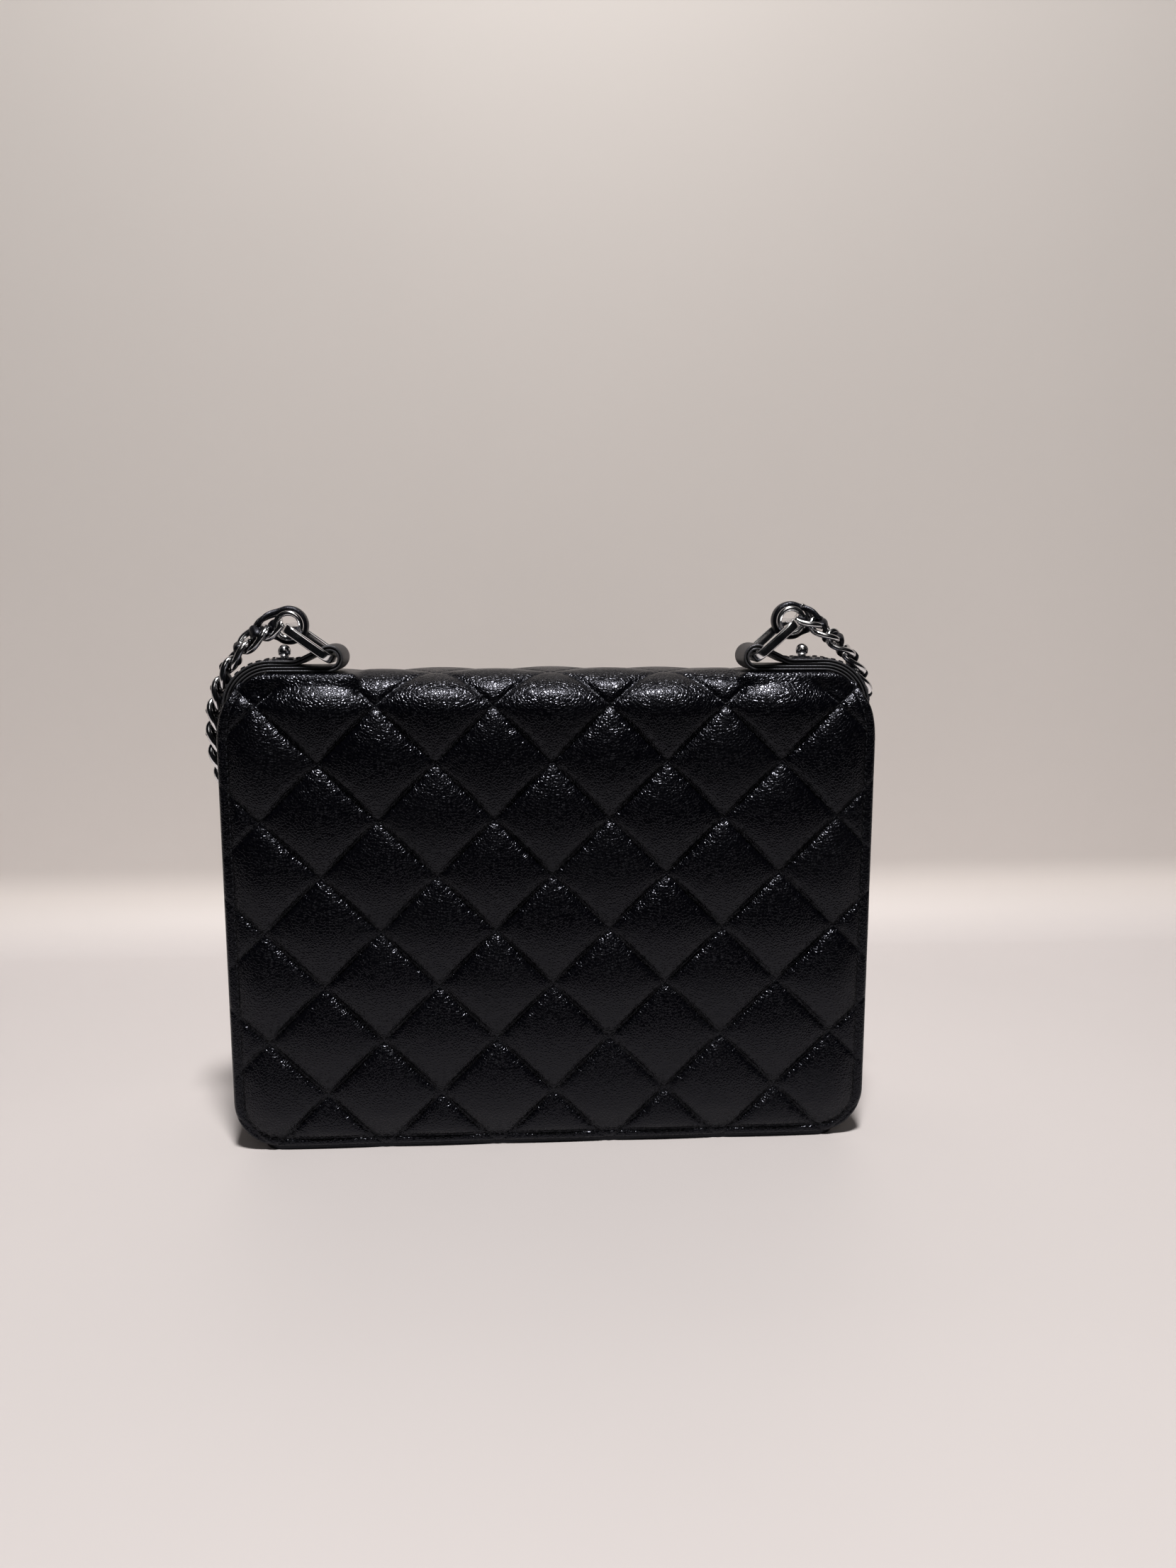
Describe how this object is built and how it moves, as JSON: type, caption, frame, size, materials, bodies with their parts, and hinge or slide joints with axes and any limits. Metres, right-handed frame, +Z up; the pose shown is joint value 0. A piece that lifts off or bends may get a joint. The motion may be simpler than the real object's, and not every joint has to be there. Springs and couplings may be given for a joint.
{
  "type": "quilted crossbody purse",
  "caption": "Small flat quilted flap bag with a laced chain strap, folding strap tabs with metal rings, a magnetic snap and a zipped divider pocket.",
  "frame": {"origin": "on the table under the middle of the closed bag, measured without the strap", "axes": "+Z up, +X across the bag's width, -Y towards the plain quilted back, +Y towards the flap"},
  "size_m": [0.1994, 0.1083, 0.1612],
  "materials": {
    "quilted_leather": "black pebbled lambskin, quilted, soft sheen",
    "plain_leather": "black pebbled leather, soft sheen",
    "lining_leather": "black smooth lining leather, matte",
    "foam": "soft quilting foam",
    "board": "grey stiffening board",
    "tape": "black woven tape",
    "polished_metal": "polished silver-coloured metal",
    "zip_metal": "satin nickel",
    "laced_chain": "polished curb chain laced with black leather"
  },
  "bodies": {
    "root": {"back_panel": "quilted_leather", "back_foam": "foam", "back_board": "board", "back_lining": "lining_leather", "base_panel": "plain_leather", "base_board": "board", "base_lining": "lining_leather", "front_panel": "plain_leather", "front_board": "board", "front_lining": "lining_leather", "gusset_left": "plain_leather", "gusset_right": "plain_leather", "slip_pocket": "lining_leather", "zip_pocket": "lining_leather", "zip_tape_rear": "tape", "zip_tape_front": "tape", "zip_teeth": "zip_metal", "zip_stops": "zip_metal", "snap_stud": "zip_metal", "snap_stud_washer": "zip_metal", "tab_root_left": "plain_leather", "tab_root_right": "plain_leather", "strap_run_left": "laced_chain", "strap_run_right": "laced_chain", "strap_coil": "laced_chain", "strap_tie": "plain_leather"},
    "flap": {"flap_panel": "quilted_leather", "flap_foam": "foam", "flap_board": "board", "flap_lining": "lining_leather", "snap_socket": "zip_metal", "snap_socket_washer": "zip_metal"},
    "tab_left": {"tab_left": "plain_leather", "tab_rivet_left": "polished_metal"},
    "tab_right": {"tab_right": "plain_leather", "tab_rivet_right": "polished_metal"},
    "ring_left": {"strap_ring_left": "polished_metal", "end_link_left": "polished_metal"},
    "ring_right": {"strap_ring_right": "polished_metal", "end_link_right": "polished_metal"},
    "slider": {"zip_slider": "zip_metal"},
    "pull": {"zip_pull": "zip_metal"}
  },
  "joints": [
    {"name": "flap_fold", "type": "hinge", "parent": "root", "child": "flap", "pos_m": [0, -0.001, 0.142], "axis": [1, 0, 0], "range_deg": [0, 90]},
    {"name": "tab_left_fold", "type": "hinge", "parent": "root", "child": "tab_left", "pos_m": [-0.08, -0.0129, 0.146], "axis": [0, -1, 0], "range_deg": [0, 90], "deforming": ["strap_run_left"]},
    {"name": "tab_right_fold", "type": "hinge", "parent": "root", "child": "tab_right", "pos_m": [0.08, -0.0129, 0.146], "axis": [0, 1, 0], "range_deg": [0, 90], "deforming": ["strap_run_right"]},
    {"name": "ring_left_swing", "type": "hinge", "parent": "tab_left", "child": "ring_left", "pos_m": [-0.063, -0.0129, 0.1464], "axis": [0, 1, 0], "range_deg": [-3, 15], "deforming": ["strap_run_left"]},
    {"name": "ring_right_swing", "type": "hinge", "parent": "tab_right", "child": "ring_right", "pos_m": [0.06, -0.0129, 0.1464], "axis": [0, -1, 0], "range_deg": [-6, 15], "deforming": ["strap_run_right"]},
    {"name": "zip_travel", "type": "slide", "parent": "root", "child": "slider", "axis": [-1, 0, 0], "range_m": [0, 0.12]},
    {"name": "pull_swing", "type": "hinge", "parent": "slider", "child": "pull", "pos_m": [0.06, -0.0024, 0.121], "axis": [0, 1, 0], "range_deg": [0, 180]}
  ]
}
